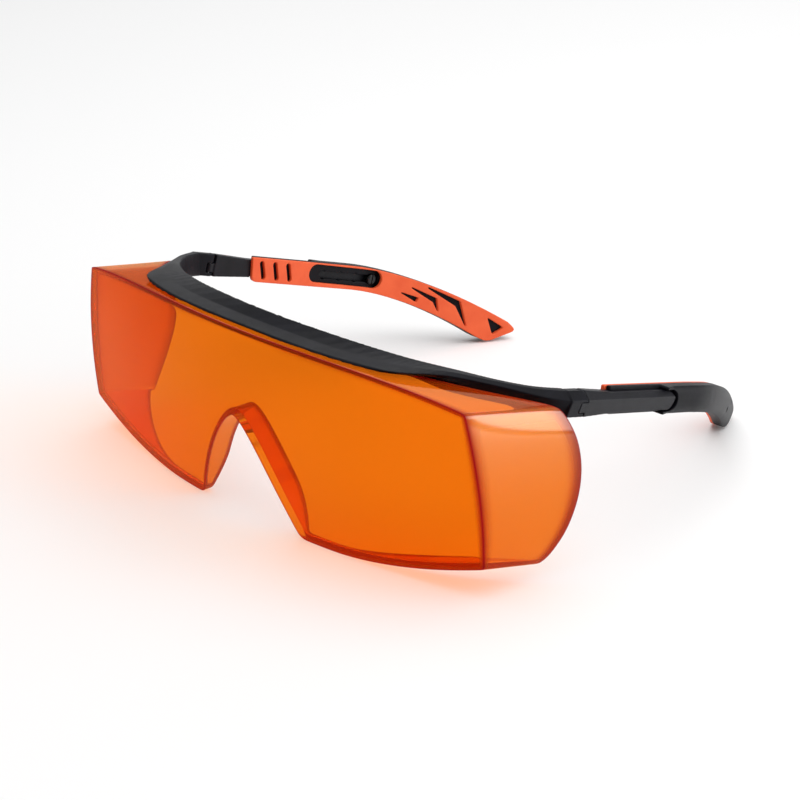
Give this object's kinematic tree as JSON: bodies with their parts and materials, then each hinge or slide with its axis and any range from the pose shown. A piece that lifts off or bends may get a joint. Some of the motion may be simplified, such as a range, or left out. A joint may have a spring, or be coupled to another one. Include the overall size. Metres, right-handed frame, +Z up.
{
  "type": "safety glasses",
  "caption": "Over-spectacle safety glasses with a one-piece tinted visor, brow frame and folding temples of adjustable length.",
  "frame": {"origin": "centre of the part's box, on the surface it rests on", "axes": "+Z up, -Y out through the lens, +Y to the rear along the temples, +X to the wearer's left"},
  "size_m": [0.161, 0.164, 0.0579],
  "materials": {
    "visor": "clear orange polycarbonate, polished",
    "frame": "black nylon, fine satin texture",
    "arm": "black nylon, satin",
    "shell": "black nylon, satin",
    "knob": "black acetal, semi-gloss",
    "pad": "orange thermoplastic elastomer, matte",
    "pin": "drawn steel wire pin"
  },
  "bodies": {
    "front": {"lens": "visor", "brow_frame": "frame", "left_hinge_pin": "pin", "right_hinge_pin": "pin"},
    "left_arm": {"left_front_arm": "arm", "left_detent_knob": "knob"},
    "left_temple": {"left_temple_shell": "shell", "left_soft_pad": "pad"},
    "right_arm": {"right_front_arm": "arm", "right_detent_knob": "knob"},
    "right_temple": {"right_temple_shell": "shell", "right_soft_pad": "pad"}
  },
  "joints": [
    {"name": "left_fold", "type": "hinge", "parent": "front", "child": "left_arm", "pos_m": [0.0714, -0.02765, 0.04262], "axis": [0, 0.2622, 0.965], "range_deg": [0, 86]},
    {"name": "left_length", "type": "slide", "parent": "left_arm", "child": "left_temple", "axis": [-0.0802, 0.9619, -0.2613], "range_m": [0, 0.0204]},
    {"name": "right_fold", "type": "hinge", "parent": "front", "child": "right_arm", "pos_m": [-0.0714, -0.02765, 0.04262], "axis": [0, -0.2622, -0.965], "range_deg": [0, 74]},
    {"name": "right_length", "type": "slide", "parent": "right_arm", "child": "right_temple", "axis": [0.0802, 0.9619, -0.2613], "range_m": [0, 0.0204]}
  ]
}
